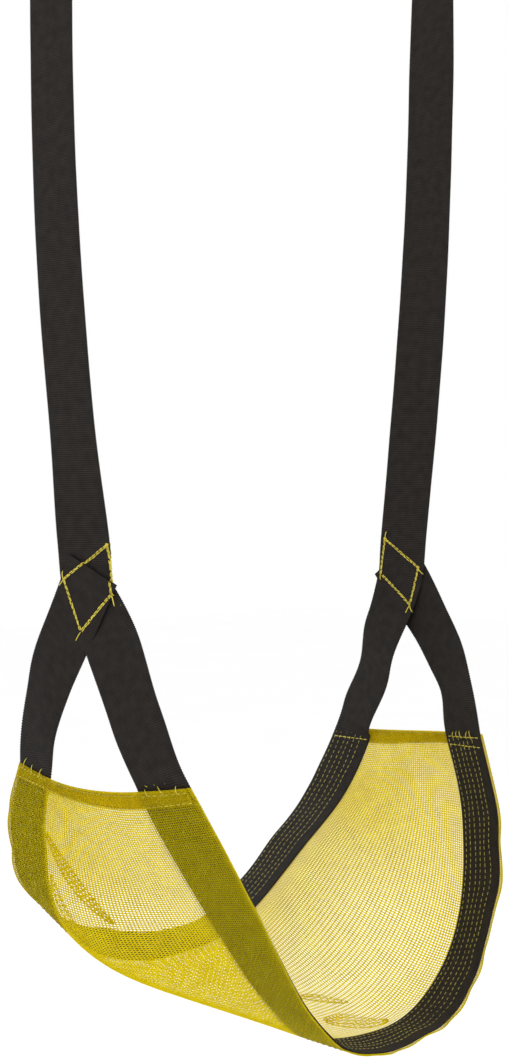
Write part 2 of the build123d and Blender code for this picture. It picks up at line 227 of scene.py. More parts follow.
def swept(s, q):
    """The panel between its two webbings' rolled planes."""
    s, q = np.broadcast_arrays(np.asarray(s, float), np.asarray(q, float))
    f_in, r_in = rows_at(FRONT_IN, s), rows_at(REAR_IN, s)
    f_across, r_across = rows_at(FRONT_ACROSS, s), rows_at(REAR_ACROSS, s)
    edge = SELVEDGE + WEB_WIDTH
    t = np.clip((q - edge) / (PANEL_WIDTH - 2 * edge), 0, 1)[..., None]
    chord = r_in - f_in
    width = np.linalg.norm(chord, axis=-1, keepdims=True)
    turn = (f_across * t * (1 - t) ** 2 - r_across * t * t * (1 - t)) * width
    bulge = (t / 0.6) ** 2.4 * ((1 - t) / 0.4) ** 1.6
    middle = f_in + chord * t * t * (3 - 2 * t) + turn + rows_at(SAG, s) * bulge
    low = np.minimum(q - edge, 0)[..., None]
    high = np.maximum(q - (PANEL_WIDTH - edge), 0)[..., None]
    return middle + f_across * low + r_across * high


# Each end's hem runs from corner to corner with a little sag in mm: the left end's, the right end's.
HEM_SAG = [10.0, 1.0]
END_Q = np.linspace(0, PANEL_WIDTH, 60)
END_LIFT = []
for end, sag in enumerate(HEM_SAG):
    row = swept(np.full(60, float(end)), END_Q)[:, 2]
    wanted = np.linspace(row[0], row[-1], 60) - sag * np.sin(np.pi * END_Q / PANEL_WIDTH)
    END_LIFT.append(wanted - row)

# Where the webbings' outer edges curl in: position along the seat, depth and half width in mm.
FRONT_CURLS = [(0.470, 1.6, 8), (0.516, 3.0, 8), (0.565, 1.5, 8), (0.614, 3.2, 9), (0.662, 1.6, 9)]
FRONT_CURLS += [(0.712, 3.0, 10), (0.775, 1.2, 9), (0.855, 1.4, 10)]
REAR_CURLS = [(0.07, 1.5, 8), (0.13, 2.6, 8), (0.20, 1.8, 9), (0.27, 2.2, 8)]
REAR_CURLS += [(0.80, 1.0, 9), (0.90, 1.2, 8)]


def base(s, q):
    """The panel's smooth shape, before its folds."""
    s, q = np.broadcast_arrays(np.asarray(s, float), np.asarray(q, float))
    points = swept(s, q)
    for end in (0, 1):
        near = np.clip(1 - np.abs(s - end) / HEM_REACH, 0, 1) ** 2
        points[..., 2] += np.interp(q, END_Q, END_LIFT[end]) * near
    for curls, low, high, across in (
        (FRONT_CURLS, 0, WEB_WIDTH, FRONT_ACROSS),
        (REAR_CURLS, PANEL_WIDTH, PANEL_WIDTH - WEB_WIDTH, -REAR_ACROSS),
    ):
        share = np.clip((q - high) / (low - high), 0, 1) ** 3
        depth = sum(d * np.exp(-(((s - at) * SEAT_LENGTH / half) ** 2)) for at, d, half in curls)
        points += rows_at(across, s) * (depth * share)[..., None]
    return points


def base_normal(s, q):
    """Inward normal of the smooth shape."""
    ds, dq = 0.004, 1.5
    along = base(np.clip(s + ds, 0, 1), q) - base(np.clip(s - ds, 0, 1), q)
    across = base(s, q + dq) - base(s, q - dq)
    return unit(np.cross(along, across))


# Low folds in the bare mesh: (s, q) of both ends, height in mm (positive inward) and half width.
FOLDS = [
    (0.030, 128, 0.090, 118, 2.5, 7.0),
    (0.100, 100, 0.170, 80, 1.5, 9.0),
    (0.548, 101, 0.620, 90, -4.0, 5.0),
    (0.600, 92, 0.715, 62, -3.0, 5.5),
    (0.560, 74, 0.640, 58, -2.5, 7.0),
]
# Tucks, where the mesh doubles over itself: (s, q) of both ends, how far the line bows in q, and
# the width in mm.
TUCKS = [
    (0.085, 150, 0.200, 106, 2, 10.0),
    (0.150, 147, 0.240, 128, 2, 8.0),
    (0.516, 76, 0.590, 59, 2, 16.0),
    (0.530, 97, 0.582, 82, 2, 6.0),
]


def along_fold(s, q, fold):
    """Share of the way along a fold and distance from it."""
    s0, q0, s1, q1 = fold[:4]
    x = (s - s0) * SEAT_LENGTH
    dx, dq = (s1 - s0) * SEAT_LENGTH, q1 - q0
    t = np.clip((x * dx + (q - q0) * dq) / (dx**2 + dq**2), 0, 1)
    return t, np.hypot(x - t * dx, q - q0 - t * dq)


def wrinkle(s, q):
    """How far the cloth stands inward of its smooth shape."""
    out = np.zeros(s.shape)
    for fold in FOLDS:
        t, away = along_fold(s, q, fold)
        ends = np.sin(np.pi * np.clip(t, 0.02, 0.98)) ** 0.5
        out += fold[4] * np.exp(-((away / fold[5]) ** 2)) * ends
    x = s * SEAT_LENGTH
    wave = np.sin(x / 17.0) * 0.6 + np.sin(x / 9.3 + 1.3) * 0.4
    curl = np.clip((CURL_WIDTH - q) / CURL_WIDTH, 0, 1) ** 2
    lower = np.clip((s - 0.42) / 0.12, 0, 1) * np.clip((0.93 - s) / 0.1, 0, 1)
    out += wave * curl * (0.6 + 2.2 * lower)
    curl = np.clip((q - (PANEL_WIDTH - CURL_WIDTH)) / CURL_WIDTH, 0, 1) ** 2
    out += np.sin(x / 13.0 + 2.0) * curl * 0.9
    return out


def panel(s, q, lift=0.0):
    """Points of the folded panel, raised inward by lift."""
    s, q = np.broadcast_arrays(np.asarray(s, float), np.asarray(q, float))
    return base(s, q) + base_normal(s, q) * (wrinkle(s, q) + lift)[..., None]


# ---------------------------------------------------------------- pieces


def new_piece(name, points, faces, material, body="seat", uvs=None):
    """A mesh object from points in mm, riding a body."""
    mesh = bpy.data.meshes.new(name)
    points = np.asarray(points, float) * MM
    mesh.from_pydata(points.tolist(), [], faces if isinstance(faces, list) else faces.tolist())
    if uvs is not None:
        layer = mesh.uv_layers.new(name="cloth")
        loops = np.zeros(len(mesh.loops), np.int32)
        mesh.loops.foreach_get("vertex_index", loops)
        layer.data.foreach_set("uv", np.asarray(uvs, np.float32)[loops].ravel())
    mesh.polygons.foreach_set("use_smooth", [True] * len(mesh.polygons))
    mesh.materials.append(material)
    mesh.update()
    piece = bpy.data.objects.new(name, mesh)
    bpy.context.scene.collection.objects.link(piece)
    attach(piece, body)
    return piece


def threads(centres, sides, normals, wide, tall):
    """Closed four-sided threads. centres is (threads, points, 3)."""
    n, m, _ = centres.shape
    ring = np.stack(
        [
            centres - sides * wide / 2,
            centres + normals * tall / 2,
            centres + sides * wide / 2,
            centres - normals * tall / 2,
        ],
        axis=2,
    )
    index = np.arange(n * m * 4).reshape(n, m, 4)
    a, b = index[:, :-1], index[:, 1:]
    quads = np.stack([a, b, np.roll(b, -1, 2), np.roll(a, -1, 2)], axis=-1).reshape(-1, 4)
    caps = np.vstack([index[:, 0, :], index[:, -1, ::-1]])
    return ring.reshape(-1, 3), np.vstack([quads, caps])


def weave(s, q, lift=0.0):
    """Threads both ways over a grid of crossings."""
    S, Q = np.meshgrid(s, q, indexing="ij")
    return woven(S, Q, np.full(S.shape, lift))


def woven(S, Q, lift):
    """Threads along the rows and columns of (s, q), each over and under the next."""
    P = panel(S, Q, lift)
    N = base_normal(S, Q)
    sign = np.where(np.indices(S.shape).sum(0) % 2 == 0, 1.0, -1.0)[..., None]
    along = unit(np.gradient(P, axis=0))
    across = unit(np.gradient(P, axis=1))
    up = (P + N * sign * WEAVE).transpose(1, 0, 2)
    down = P - N * sign * WEAVE
    first = threads(up, across.transpose(1, 0, 2), N.transpose(1, 0, 2), THREAD_WIDE, THREAD_TALL)
    second = threads(down, along, N, THREAD_WIDE, THREAD_TALL)
    return first, second


def tuck(s0, q0, s1, q1, bow, width):
    """A looser strip of mesh over the panel's inner face that narrows to both ends."""
    pitch = 2 * PANEL_WIDTH / THREADS_ACROSS
    dx, dq = (s1 - s0) * SEAT_LENGTH, q1 - q0
    long = math.hypot(dx, dq)
    t = np.linspace(0.03, 0.97, round(long / pitch))
    v = np.linspace(-0.5, 0.5, max(3, round(width / pitch) + 1))
    T, V = np.meshgrid(t, v, indexing="ij")
    across = V * width * np.sin(np.pi * T) ** 0.7
    S = s0 + (s1 - s0) * T - across * dq / long / SEAT_LENGTH
    Q = q0 + dq * T + across * dx / long + bow * np.sin(np.pi * T)
    return woven(S, Q, 0.5 + 1.3 * (1 - 4 * V**2))


def joined(parts):
    """Points and faces of several parts as one."""
    points, faces, start = [], [], 0
    for p, f in parts:
        points.append(p)
        faces.append(np.asarray(f) + start)
        start += len(p)
    return np.vstack(points), np.vstack(faces)


# ---------------------------------------------------------------- materials


def material(name, color, roughness, **sockets):
    """A new material, its node tree and its shader."""
    m = bpy.data.materials.new(name)
    m.use_nodes = True
    shader = m.node_tree.nodes["Principled BSDF"]
    shader.inputs["Base Color"].default_value = (*color, 1)
    shader.inputs["Roughness"].default_value = roughness
    for key, value in sockets.items():
        shader.inputs[key.replace("_", " ")].default_value = value
    return m, m.node_tree, shader


def node(tree, kind, **values):
    """A new node with some of its sockets or properties set."""
    n = tree.nodes.new(kind)
    for key, value in values.items():
        if key in n.inputs:
            n.inputs[key].default_value = value
        else:
            setattr(n, key, value)
    return n


def varied(tree, shader, low, high, scale, detail=4.0, vector=None):
    """Base colour that wanders between two colours."""
    noise = node(tree, "ShaderNodeTexNoise", Scale=scale, Detail=detail)
    ramp = tree.nodes.new("ShaderNodeValToRGB")
    ramp.color_ramp.elements[0].position = 0.3
    ramp.color_ramp.elements[1].position = 0.7
    ramp.color_ramp.elements[0].color = (*low, 1)
    ramp.color_ramp.elements[1].color = (*high, 1)
    place = vector or node(tree, "ShaderNodeTexCoord").outputs["Object"]
    tree.links.new(place, noise.inputs["Vector"])
    tree.links.new(noise.outputs["Fac"], ramp.inputs["Fac"])
    tree.links.new(ramp.outputs["Color"], shader.inputs["Base Color"])
    return ramp


def bumped(tree, shader, height, strength, distance):
    """Small relief from a height socket."""
    bump = node(tree, "ShaderNodeBump", Strength=strength, Distance=distance)
    tree.links.new(height, bump.inputs["Height"])
    tree.links.new(bump.outputs["Normal"], shader.inputs["Normal"])


def cloth_thread(name, low, high, roughness, translucent):
    """Yellow thread. translucent is the share of light that passes through it."""
    m, tree, shader = material(name, high, roughness)
    ramp = varied(tree, shader, low, high, 90.0)
    fine = node(tree, "ShaderNodeTexNoise", Scale=2500.0, Detail=2.0)
    tree.links.new(node(tree, "ShaderNodeTexCoord").outputs["Object"], fine.inputs["Vector"])
    bumped(tree, shader, fine.outputs["Fac"], 0.25, 0.0001)
    if translucent:
        through = node(tree, "ShaderNodeBsdfTranslucent")
        tree.links.new(ramp.outputs["Color"], through.inputs["Color"])
        mix = node(tree, "ShaderNodeMixShader", Fac=translucent)
        out = tree.nodes["Material Output"]
        tree.links.new(shader.outputs["BSDF"], mix.inputs[1])
        tree.links.new(through.outputs["BSDF"], mix.inputs[2])
        tree.links.new(mix.outputs["Shader"], out.inputs["Surface"])
    return m


def webbing_material():
    """Dark ribbed webbing with painted rib shade: its base colour darkens and lightens in bands at the
    rib pitch. Its UVs are millimetres across and along.
    """
    m, tree, shader = material("webbing", (0.018, 0.0145, 0.0125), 0.78)
    shader.inputs["Specular IOR Level"].default_value = 0.18
    uv = node(tree, "ShaderNodeUVMap", uv_map="cloth")
    ramp = varied(
        tree, shader, (0.013, 0.0105, 0.009), (0.022, 0.018, 0.0155), 0.12, 6.0, uv.outputs["UV"]
    )
    columns = node(tree, "ShaderNodeTexWave", Scale=0.62, Distortion=0.0)
    columns.bands_direction = "X"
    tree.links.new(uv.outputs["UV"], columns.inputs["Vector"])
    grain = node(tree, "ShaderNodeTexNoise", Scale=1.9, Detail=3.0)
    tree.links.new(uv.outputs["UV"], grain.inputs["Vector"])
    add = node(tree, "ShaderNodeMath", operation="ADD")
    tree.links.new(columns.outputs["Fac"], add.inputs[0])
    tree.links.new(grain.outputs["Fac"], add.inputs[1])
    bumped(tree, shader, add.outputs["Value"], 0.5, 0.0003)
    # Painted rib shade: bands along the strap, 1.7 mm apart like the ribs, scale the base colour from 0.5
    # to 1.6.
    rows = node(tree, "ShaderNodeTexWave", Scale=0.185, Distortion=1.2)
    rows.bands_direction = "Y"
    tree.links.new(uv.outputs["UV"], rows.inputs["Vector"])
    share = node(tree, "ShaderNodeMapRange")
    share.inputs["To Min"].default_value = 0.5
    share.inputs["To Max"].default_value = 1.6
    tree.links.new(rows.outputs["Fac"], share.inputs["Value"])
    rib_shaded_color = node(tree, "ShaderNodeVectorMath", operation="SCALE")
    tree.links.new(ramp.outputs["Color"], rib_shaded_color.inputs[0])
    tree.links.new(share.outputs["Result"], rib_shaded_color.inputs["Scale"])
    tree.links.new(rib_shaded_color.outputs["Vector"], shader.inputs["Base Color"])
    return m


def steel_material(name, color, roughness, brushed):
    """Plated steel with fine uneven polish; brushed is the polish's scale."""
    m, tree, shader = material(name, color, roughness, Metallic=1.0)
    varied(tree, shader, tuple(c * 0.82 for c in color), color, 60.0)
    fine = node(tree, "ShaderNodeTexNoise", Scale=brushed, Detail=5.0)
    tree.links.new(node(tree, "ShaderNodeTexCoord").outputs["Object"], fine.inputs["Vector"])
    bumped(tree, shader, fine.outputs["Fac"], 0.12, 0.0002)
    ranged = node(tree, "ShaderNodeMapRange")
    ranged.inputs["To Min"].default_value = roughness - 0.07
    ranged.inputs["To Max"].default_value = roughness + 0.12
    tree.links.new(fine.outputs["Fac"], ranged.inputs["Value"])
    tree.links.new(ranged.outputs["Result"], shader.inputs["Roughness"])
    return m


MESH = cloth_thread("mesh_thread", (0.89, 0.80, 0.011), (0.95, 0.87, 0.017), 0.5, 0.86)
SEWING = cloth_thread("sewing_thread", (0.30, 0.26, 0.035), (0.50, 0.43, 0.06), 0.5, 0)
HEAVY = cloth_thread("heavy_thread", (0.50, 0.40, 0.03), (0.72, 0.60, 0.06), 0.5, 0)
WEB = webbing_material()

# ---------------------------------------------------------------- mesh panel

q_lines = (np.arange(THREADS_ACROSS) + 0.5) * PANEL_WIDTH / THREADS_ACROSS
q_lines = np.unique(np.r_[q_lines, RIMS, [PANEL_WIDTH - r for r in RIMS]])
s_lines = (np.arange(THREADS_ALONG) + 0.5) / THREADS_ALONG
cuts = [round(THREADS_ALONG * k / SECTIONS) for k in range(SECTIONS + 1)]
for k, name in enumerate(SECTION_NAMES):
    rows = slice(cuts[k], min(cuts[k + 1] + 1, THREADS_ALONG))
    lengthwise, crosswise = weave(s_lines[rows], q_lines)
    if k < SECTIONS - 1:
        # The last crosswise thread, of four sides, belongs to the next section.
        points, faces = crosswise
        keep = len(points) - len(q_lines) * 4
        crosswise = (points[:keep], faces[(faces < keep).all(axis=1)])
    parts = [lengthwise, crosswise]
    for spot in TUCKS:
        if cuts[k] <= spot[0] * THREADS_ALONG < cuts[k + 1]:
            parts += tuck(*spot)
    points, faces = joined(parts)
    new_piece(name, points, faces, MESH)
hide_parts("mesh_panel")

for end, s0, direction in (("left", 0.0, 1), ("right", 1.0, -1)):
    parts = []
    for layer in (1, 2):
        s = s0 + direction * (np.linspace(0, HEM_TALL / SEAT_LENGTH, 7) + layer * 0.3 / THREADS_ALONG)
        parts += weave(np.sort(s), q_lines[4:-4] + 0.5 * layer, lift=-HEM_STEP * layer)
    points, faces = joined(parts)
    hem = new_piece(f"{end}_hem_fold", points, faces, MESH)
    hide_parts(f"{end}_hem")

# ---------------------------------------------------------------- straps


def side_frame(side):
    """The knot, the ring's bar, and the hanging strap's upward and inward directions."""
    knot = np.array([side * KNOT_X[side], 0, KNOT_Z])
    bar = np.array([side * RING_X, 0, RING_Z])
    up = unit(bar - knot)
    inward = unit(np.cross([0, side, 0], up))
    return knot, bar, up, inward * -side * np.sign(inward[0])


def twist_at(z, side):
    """The angle by which a hanging strap is turned at a height."""
    low, middle, high = TWIST[side]
    levels = np.array([KNOT_Z - 90, KNOT_Z + 30, KNOT_Z + 140, RING_Z - 170, RING_Z - 60])
    angles = np.array([0, low, middle, high, 0.0])
    k = np.clip(np.searchsorted(levels, z) - 1, 0, len(levels) - 2)
    share = np.clip((z - levels[k]) / (levels[k + 1] - levels[k]), 0, 1)
    share = share * share * (3 - 2 * share)
    return np.radians(angles[k] + (angles[k + 1] - angles[k]) * share)


def hung(points, side, at=None):
    """Points of a hanging strap, twisted about its line and bowed outward.

    Vectors are only twisted: at is then the points that they belong to.
    """
    knot, _, up, _ = side_frame(side)
    z = (points if at is None else at)[..., 2]
    angle = twist_at(z, side)[..., None]
    origin = knot if at is None else 0
    p = points - origin
    along = (p @ up)[..., None] * up
    flat = p - along
    turned = origin + along + flat * np.cos(angle) + np.cross(up, flat) * np.sin(angle)
    if at is None:
        low, high = KNOT_Z + BOW_START, RING_Z - TAIL - LOOP_STIFF
        share = np.clip((z - low) / (high - low), 0, 1)
        turned[..., 0] += side * STRAP_BOW[side] * np.sin(np.pi * share)
    return turned


def leg_points(side, corner):
    """Centre points from the knot, where a leg lies in the hanging strap's plane, to a corner."""
    knot, _, up, _ = side_frame(side)
    bow, skew, out = LEGS[side, "front" if corner[1] < 0 else "rear"]
    drop = knot[2] - corner[2]
    lean = -drop * up[0] / up[2]
    t = np.linspace(0, 1, 60)
    y = corner[1] * (t + bow * np.sin(np.pi * t) + skew * np.sin(2 * np.pi * t))
    x = knot[0] + lean * t + (corner[0] - knot[0] - lean) * t**4
    x += side * out * np.sin(np.pi * np.clip((t - 0.35) / 0.65, 0, 1)) ** 2
    return smooth_curve(np.stack([x, y, knot[2] - drop * t], axis=1), LEG_ROWS)


def web_edges(s, first):
    """The webbing's two edges and normal where it is sewn on the panel."""
    lift = WEB_LIFT + WEB_THICK / 2
    s = np.asarray(s, float)
    a = panel(s, np.full(s.shape, first), np.full(s.shape, lift))
    b = panel(s, np.full(s.shape, first + WEB_WIDTH), np.full(s.shape, lift))
    middle = base_normal(s, np.full(s.shape, first + WEB_WIDTH / 2))
    return a, b, middle


def rolled(centres, normals, side, corner):
    """Normals turned about a leg's line between the knot and the hem."""
    along = unit(np.gradient(centres, axis=0))
    upward = along * np.sign(along[:, 2:3])
    z = centres[:, 2]
    share = np.clip((KNOT_Z - 8 - z) / 36, 0, 1) * np.clip((z - corner[2] - 4) / 40, 0, 1)
    angle = np.radians(LEG_ROLL[side, "front" if corner[1] < 0 else "rear"]) * share
    return normals * np.cos(angle)[:, None] + np.cross(upward, normals) * np.sin(angle)[:, None]


def ribbon_edges(centres, inward):
    """The front and rear edges of a free stretch of webbing."""
    along = unit(np.gradient(centres, axis=0))
    across = unit(np.cross(inward, along))
    across = across * np.where(across[:, 1:2] < 0, -1, 1)
    return centres - across * WEB_WIDTH / 2, centres + across * WEB_WIDTH / 2


def smoothed(table, start, sigma):
    """A Gaussian average along a table of evenly spaced rows, from row start on."""
    reach = int(sigma * 3)
    kernel = np.exp(-0.5 * (np.arange(-reach, reach + 1) / sigma) ** 2)
    kernel /= kernel.sum()
    before = 2 * table[:1] - table[reach:0:-1]
    after = 2 * table[-1:] - table[-2 : -reach - 2 : -1]
    padded = np.vstack([before, table, after]).T
    out = np.stack([np.convolve(column, kernel, "valid") for column in padded], axis=1)
    blend = np.clip((np.arange(len(table)) - start) / (2 * sigma), 0, 1)[:, None]
    return table * (1 - blend) + out * blend


def below_crotch():
    """For each row of a leg, 0 down to where the legs part, then rising to 1 at the corner."""
    return np.clip(np.linspace(-1.3, 1, LEG_ROWS), 0, 1)[:, None]


def loop_and_strap(side):
    """Centres and normals from the loop's cut end, over the ring's bar and down to the knot."""
    knot, bar, up, inward = side_frame(side)
    centres, normals = [], []
    for drop in np.arange(TAIL, LOOP_FOOT, -2.0):
        centres.append(bar - up * drop - inward * HALF_LAYER)
        normals.append(-inward)
    for k in range(LOOP_STEPS + 1):
        angle = math.pi * k / LOOP_STEPS
        out = -inward * math.cos(angle) + up * math.sin(angle)
        centres.append(bar + out * LOOP_TURN)
        normals.append(out)
    for drop in np.r_[np.arange(LOOP_FOOT, 110, 4.0), np.arange(110, (bar - knot) @ up - 12, 8.0)]:
        centres.append(bar - up * drop + inward * HALF_LAYER)
        normals.append(inward)
    return np.array(centres), np.array(normals)


def leg_rows(side, corner, corner_normal, shift):
    """Centres and normals of a leg from its knot to a corner; shift is its layer at the knot."""
    inward = side_frame(side)[3]
    turn = below_crotch()
    centres = leg_points(side, corner) + inward * shift * (1 - turn)
    normals = unit(inward * (1 - turn) + corner_normal * turn)
    return centres, rolled(centres, normals, side, corner)


def strap_table(side, first):
    """Rows of a strap's two edges and its normal, 1 mm apart, from the loop's to the other cut end."""
    centres, normals = loop_and_strap(side)
    ends = (0.0, 1.0) if side < 0 else (1.0, 0.0)
    a, b, n = web_edges(np.linspace(*ends, 700), first)
    leg, leg_normals = leg_rows(side, (a[0] + b[0]) / 2, n[0], HALF_LAYER)
    centres = np.vstack([centres, leg[:-2]])
    normals = np.vstack([normals, leg_normals[:-2]])
    near = [hung(edge, side) for edge in ribbon_edges(centres, normals)]
    near.append(hung(normals, side, centres))

    under = HALF_LAYER - WEB_THICK - KNOT_GAP
    leg, leg_normals = leg_rows(-side, (a[-1] + b[-1]) / 2, n[-1], under)
    ahead = leg[0] + unit(leg[0] - leg[2]) * np.linspace(STRAP_END, 2, 12)[:, None]
    centres = np.vstack([ahead, leg])[::-1]
    normals = np.vstack([np.repeat(leg_normals[:1], len(ahead), axis=0), leg_normals])[::-1]
    far = [hung(edge, -side) for edge in ribbon_edges(centres, normals)]
    far.append(hung(normals, -side, centres))

    columns = zip(near, (a, b, n), far)
    table = np.hstack([np.vstack([top, sewn[2:-2], end[2:]]) for top, sewn, end in columns])
    at = lengths((table[:, 0:3] + table[:, 3:6]) / 2)
    wanted = np.arange(0, at[-1], 1.0)
    table = np.stack([np.interp(wanted, at, column) for column in table.T], axis=1)
    return smoothed(table, start=200, sigma=7.0)


def webbing(name, table, node_name):
    """A ribbed strap along a table of edges."""
    at = np.arange(len(table), dtype=float)
    rows = np.arange(0, len(table) - 1, RIB / 2)
    columns = np.stack([np.interp(rows, at, column) for column in table.T], axis=1)
    A, B, N = columns[:, 0:3], columns[:, 3:6], columns[:, 6:9]
    N = unit(N - unit(B - A) * (N * unit(B - A)).sum(1, keepdims=True))
    rib = np.where(np.arange(len(rows)) % 2 == 0, 1.0, -1.0)
    wander = 0.35 * np.sin(rows / 41.0 + len(name)) + 0.2 * np.sin(rows / 13.0)
    middle, half = (A + B) / 2, (B - A) / 2
    u = (WEB_ACROSS + 1) * WEB_WIDTH / 2
    points, uvs = [], []
    for k, row in enumerate(rows):
        reach = 1 + (0.25 * rib[k] + 0.3 * wander[k]) / 25 * (np.abs(WEB_ACROSS) > 0.9)
        centre = middle[k] + np.outer(WEB_ACROSS * reach, half[k])
        height = np.outer((WEB_THICK / 2 - RIB_DEPTH + RIB_DEPTH * rib[k]) * WEB_ROUND, N[k])
        points += [centre + height, (centre - height)[::-1]]
        uvs += [np.stack([u, np.full(len(u), row)], 1), np.stack([u[::-1] + 60, np.full(len(u), row)], 1)]
    points, uvs = np.vstack(points), np.vstack(uvs)
    index = np.arange(len(points)).reshape(-1, 2 * len(u))
    a, b = index[:-1], index[1:]
    quads = np.stack([a, np.roll(a, -1, 1), np.roll(b, -1, 1), b], axis=-1).reshape(-1, 4)
    faces = quads.tolist() + [index[0, ::-1].tolist(), index[-1].tolist()]
    piece = new_piece(name, points, faces, WEB, uvs=uvs)
    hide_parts(node_name)


webbing("strap_a_webbing", strap_table(-1, SELVEDGE), "strap_a")
webbing("strap_b_webbing", strap_table(1, REAR_WEB), "strap_b")

# ---------------------------------------------------------------- stitches


def dash(points, normals, wide, tall, sides=6):
    """A rounded stitch along a few points, sunk at both ends."""
    points = np.asarray(points)
    m = len(points)
    along = unit(np.gradient(points, axis=0))
    side = unit(np.cross(normals, along))
    t = np.linspace(-1, 1, m)
    swell = np.sqrt(np.clip(1 - t**4, 0.12, 1))[:, None, None]
    angle = np.arange(sides) * 2 * math.pi / sides
    ring = side[:, None] * np.cos(angle)[None, :, None] * wide / 2
    ring = ring + normals[:, None] * (np.sin(angle)[None, :, None] * tall / 2)
    ring = points[:, None] + ring * swell - (normals * (t**4)[:, None] * tall * 0.45)[:, None]
    index = np.arange(m * sides).reshape(m, sides)
    a, b = index[:-1], index[1:]
    quads = np.stack([a, np.roll(a, -1, 1), np.roll(b, -1, 1), b], -1).reshape(-1, 4)
    mid = sides // 2
    caps = []
    for row in (index[0, ::-1], index[-1]):
        caps += [[row[0], row[1], row[mid - 1], row[mid]], [row[0], row[mid], row[mid + 1], row[-1]]]
    return ring.reshape(-1, 3), np.vstack([quads, caps])


def stitch_run(line, normals, pitch, length, wide=0.9, tall=0.6, jitter=0.25):
    """Slightly uneven dashes along a line."""
    at = lengths(line)
    parts = []
    position = pitch * rng.uniform(0.1, 0.5)
    while position + length < at[-1]:
        t = np.linspace(position, position + length * rng.uniform(0.9, 1.1), 5)
        p = np.stack([np.interp(t, at, line[:, k]) for k in range(3)], 1)
        n = unit(np.stack([np.interp(t, at, normals[:, k]) for k in range(3)], 1))
        side = unit(np.cross(n[2], p[-1] - p[0]))
        p = p + side * rng.normal(0, jitter * 0.3)
        p = p + side * np.linspace(-1, 1, 5)[:, None] * rng.normal(0, jitter * 0.3)
        parts.append(dash(p, n, wide, tall))
        position += pitch
    return parts


def tail(start, direction, normal, length, bend, wide=0.7):
    """A loose thread end."""
    t = np.linspace(0, 1, 7)[:, None]
    side = unit(np.cross(direction, normal))
    p = start + direction * length * t + side * bend * t**2 + normal * 1.2 * t * (1 - t) * 2
    return dash(p, np.repeat(normal[None], 7, axis=0), wide, wide)


def sewn(name, parts, thread, node_name):
    """One piece of thread from its stitches."""
    points, faces = joined(parts)
    piece = new_piece(name, points, faces, thread)
    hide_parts(node_name)


def edge_stitching(edge, first):
    """Long rows along an edge webbing, on both faces."""
    s = np.linspace(0.004, 0.996, 500)
    a, b, _ = web_edges(s, first)
    flat = unit(np.cross(np.gradient(a + b, axis=0), b - a))
    parts = []
    for k in range(LONG_ROWS):
        share = ROW_FIRST + ROW_STEP * k
        share = share + 0.010 * np.sin(s * 37 + k * 2.1) + 0.006 * np.sin(s * 91 + k)
        q = first + WEB_WIDTH * share
        inner = a + (b - a) * share[:, None] + flat * (WEB_THICK / 2 + 0.1)
        parts += stitch_run(inner, flat, 5.2, 3.5, 0.75, 0.5)
        outer = panel(s, q, np.full(s.shape, -0.55))
        parts += stitch_run(outer, -base_normal(s, q), 6.8, 3.0, 0.55, 0.4)
    sewn(f"{edge}_edge_stitching_dashes", parts, SEWING, f"{edge}_edge_stitching")


def cross_row(s_end, inside, depth, q):
    """Shares s of a row across the panel at a depth in mm from its end, and its normals."""
    s = np.full(len(q), s_end + inside * depth / SEAT_LENGTH)
    return s, base_normal(s, q)


def corner_stitching(end, s_end, inside, edge, first):
    """Two rows across the webbing where it leaves the panel, and their loose ends."""
    parts = []
    for depth in (3.0, 11.5):
        q = np.linspace(first + 0.5, first + WEB_WIDTH - 0.5, 40)
        s, n = cross_row(s_end, inside, depth, q)
        parts += stitch_run(panel(s, q, np.full(40, OVER_WEB + 0.15)), n, 5.5, 4.6)
        parts += stitch_run(panel(s, q, np.full(40, HEM_OUTSIDE)), -n, 5.5, 3.6, 0.7, 0.5)
    for k in range(5):
        q = first + WEB_WIDTH * (ROW_FIRST + ROW_STEP * k) + rng.uniform(-1, 1)
        s = s_end + inside * rng.uniform(-1.0, 2.0) / SEAT_LENGTH
        for lift, face in ((OVER_WEB + 0.4, 1), (HEM_OUTSIDE - 0.2, -1)):
            if face < 0 and k % 2:
                continue
            at_s, at_q = np.array([s + inside * 3 / SEAT_LENGTH]), np.array([q])
            start = panel(at_s, at_q, np.array([lift]))[0]
            away = start - panel(at_s + inside * 0.02, at_q, np.array([lift]))[0]
            n = base_normal(at_s, at_q)[0] * face
            parts.append(tail(start, unit(away), n, rng.uniform(6, 9.5), rng.uniform(-3, 3)))
    sewn(f"{end}_{edge}_corner_threads", parts, HEAVY, f"{end}_{edge}_corner_stitching")


def hem_stitching(end, s_end, inside):
    """Two rows along the folded hem between the webbings, on both faces."""
    parts = []
    for depth in (2.2, 12.0):
        q = np.linspace(SELVEDGE + WEB_WIDTH + 0.5, REAR_WEB - 0.5, 60)
        s, n = cross_row(s_end, inside, depth, q)
        parts += stitch_run(panel(s, q, np.full(60, HEM_OUTSIDE)), -n, 5.5, 3.8, 0.7, 0.5)
        parts += stitch_run(panel(s, q, np.full(60, 0.6)), n, 5.5, 3.8, 0.7, 0.5)
    sewn(f"{end}_hem_threads", parts, SEWING, f"{end}_hem_stitching")


def webbing_tree():
    """Both straps' surfaces, for rays."""
    points, faces = [], []
    for name in ("strap_a_webbing", "strap_b_webbing"):
        mesh = bpy.data.objects[name].data
        start = len(points)
        points += [Vector(v.co) / MM for v in mesh.vertices]
        faces += [[v + start for v in p.vertices] for p in mesh.polygons]
    return BVHTree.FromPolygons(points, faces)


WEB_TREE = webbing_tree()


def on_webbing(points, face):
    """Points and normals where rays against face meet the straps; points that miss are kept."""
    found, normals = [], []
    for p in points:
        hit, n, _, _ = WEB_TREE.ray_cast(Vector(p + face * 15), Vector(-face), 30)
        found.append(np.array(hit) if hit else p)
        normals.append(np.array(n) * np.sign(np.dot(n, face)) if hit else face)
    return np.array(found), np.array(normals)


